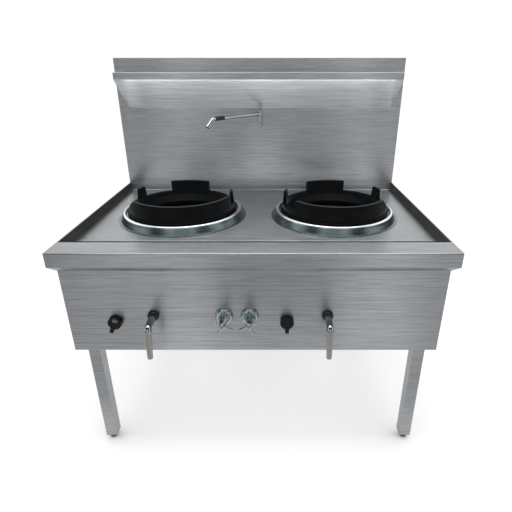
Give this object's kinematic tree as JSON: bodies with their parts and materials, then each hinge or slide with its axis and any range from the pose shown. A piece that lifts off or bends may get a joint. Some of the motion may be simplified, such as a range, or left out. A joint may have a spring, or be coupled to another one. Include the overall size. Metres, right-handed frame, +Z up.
{
  "type": "wok range",
  "caption": "Gas wok range with a recessed stainless deck, cast wok rings, a splashback shelf with a swing spout, knee levers and cross-head taps, on square legs.",
  "frame": {"origin": "on the floor, below the middle of the bounding box", "axes": "+Z up, +Y from the controls to the splashback, +X to the right as seen from the front"},
  "size_m": [1.2, 0.933, 1.318],
  "materials": {
    "brushed_stainless": "brushed stainless sheet",
    "polished_stainless": "polished stainless spinning",
    "cast_iron": "black cast iron",
    "mild_steel": "plain steel",
    "refractory": "cast refractory, matt and opaque",
    "brass": "turned brass",
    "copper_pipe": "drawn copper",
    "chrome": "bright chrome plate",
    "satin_handle": "satin plated steel",
    "dark_boss": "dark enamelled steel",
    "black_plastic": "black moulded plastic",
    "black_rubber": "black rubber sleeve",
    "waste_plastic": "light grey moulded plastic"
  },
  "bodies": {
    "range": {"worktop": "brushed_stainless", "front_panel": "brushed_stainless", "side_panel_left": "brushed_stainless", "side_panel_right": "brushed_stainless", "rear_panel": "brushed_stainless", "splashback": "brushed_stainless", "splashback_cover": "brushed_stainless", "splashback_shelf": "brushed_stainless", "leg_rails": "brushed_stainless", "leg_front_left": "brushed_stainless", "leg_front_right": "brushed_stainless", "leg_rear_left": "brushed_stainless", "leg_rear_right": "brushed_stainless", "burner_collar_left": "polished_stainless", "burner_collar_right": "polished_stainless", "burner_left": "cast_iron", "burner_right": "cast_iron", "chamber_drum_left": "mild_steel", "chamber_drum_right": "mild_steel", "gas_manifold": "mild_steel", "gas_supply_pipe_left": "mild_steel", "gas_supply_pipe_right": "mild_steel", "leg_plugs": "mild_steel", "rear_screws": "mild_steel", "chamber_lining_left": "refractory", "chamber_lining_right": "refractory", "gas_injectors": "brass", "pilot_burners": "brass", "main_valve_left": "brass", "main_valve_right": "brass", "pilot_valve_left": "brass", "pilot_valve_right": "brass", "deck_nozzles": "brass", "pilot_pipes": "copper_pipe", "water_supply_pipe": "copper_pipe", "spout_feed_pipe": "copper_pipe", "deck_feed_pipe": "copper_pipe", "tap_body_left": "chrome", "tap_body_right": "chrome", "tap_escutcheons": "chrome", "spout_elbow": "chrome", "lever_bosses": "dark_boss", "waste_outlet": "waste_plastic"},
    "knob_left": {"gas_knob_left": "black_plastic"},
    "knob_right": {"gas_knob_right": "black_plastic"},
    "lever_left": {"lever_shaft_left": "chrome", "lever_handle_left": "satin_handle"},
    "lever_right": {"lever_shaft_right": "chrome", "lever_handle_right": "satin_handle"},
    "tap_left": {"tap_handle_left": "chrome"},
    "tap_right": {"tap_handle_right": "chrome"},
    "spout": {"spout_arm": "chrome", "spout_sleeve": "black_rubber"},
    "ring_left": {"wok_ring_left": "cast_iron"},
    "ring_right": {"wok_ring_right": "cast_iron"},
    "basket": {"strainer_basket": "brushed_stainless"},
    "foot_front_left": {"foot_front_left": "black_plastic"},
    "foot_front_right": {"foot_front_right": "black_plastic"},
    "foot_rear_left": {"foot_rear_left": "black_plastic"},
    "foot_rear_right": {"foot_rear_right": "black_plastic"}
  },
  "joints": [
    {"name": "knob_left_turn", "type": "hinge", "parent": "range", "child": "knob_left", "pos_m": [-0.432, -0.37453, 0.563], "axis": [0, -1, 0], "range_deg": [0, 180]},
    {"name": "lever_left_swing", "type": "hinge", "parent": "range", "child": "lever_left", "pos_m": [-0.313, -0.37453, 0.584], "axis": [0, -1, 0], "range_deg": [0, 90]},
    {"name": "tap_left_turn", "type": "hinge", "parent": "range", "child": "tap_left", "pos_m": [-0.096, -0.37453, 0.58], "axis": [0, -1, 0], "range_deg": [0, 540]},
    {"name": "ring_left_lift", "type": "slide", "parent": "range", "child": "ring_left", "axis": [0, 0, 1], "range_m": [0, 0.12]},
    {"name": "knob_right_turn", "type": "hinge", "parent": "range", "child": "knob_right", "pos_m": [0.099, -0.37453, 0.563], "axis": [0, -1, 0], "range_deg": [0, 180]},
    {"name": "lever_right_swing", "type": "hinge", "parent": "range", "child": "lever_right", "pos_m": [0.224, -0.37453, 0.584], "axis": [0, -1, 0], "range_deg": [0, 90]},
    {"name": "tap_right_turn", "type": "hinge", "parent": "range", "child": "tap_right", "pos_m": [-0.017, -0.37453, 0.58], "axis": [0, -1, 0], "range_deg": [0, 540]},
    {"name": "ring_right_lift", "type": "slide", "parent": "range", "child": "ring_right", "axis": [0, 0, 1], "range_m": [0, 0.12]},
    {"name": "spout_swing", "type": "hinge", "parent": "range", "child": "spout", "pos_m": [0, 0.38647, 1.053], "axis": [0, 0, 1], "range_deg": [-45, 125]},
    {"name": "basket_lift", "type": "slide", "parent": "range", "child": "basket", "axis": [0, 0, 1], "range_m": [0, 0.06]},
    {"name": "foot_front_left_level", "type": "slide", "parent": "range", "child": "foot_front_left", "axis": [0, 0, -1], "range_m": [0, 0.02]},
    {"name": "foot_front_right_level", "type": "slide", "parent": "range", "child": "foot_front_right", "axis": [0, 0, -1], "range_m": [0, 0.02]},
    {"name": "foot_rear_left_level", "type": "slide", "parent": "range", "child": "foot_rear_left", "axis": [0, 0, -1], "range_m": [0, 0.02]},
    {"name": "foot_rear_right_level", "type": "slide", "parent": "range", "child": "foot_rear_right", "axis": [0, 0, -1], "range_m": [0, 0.02]}
  ]
}
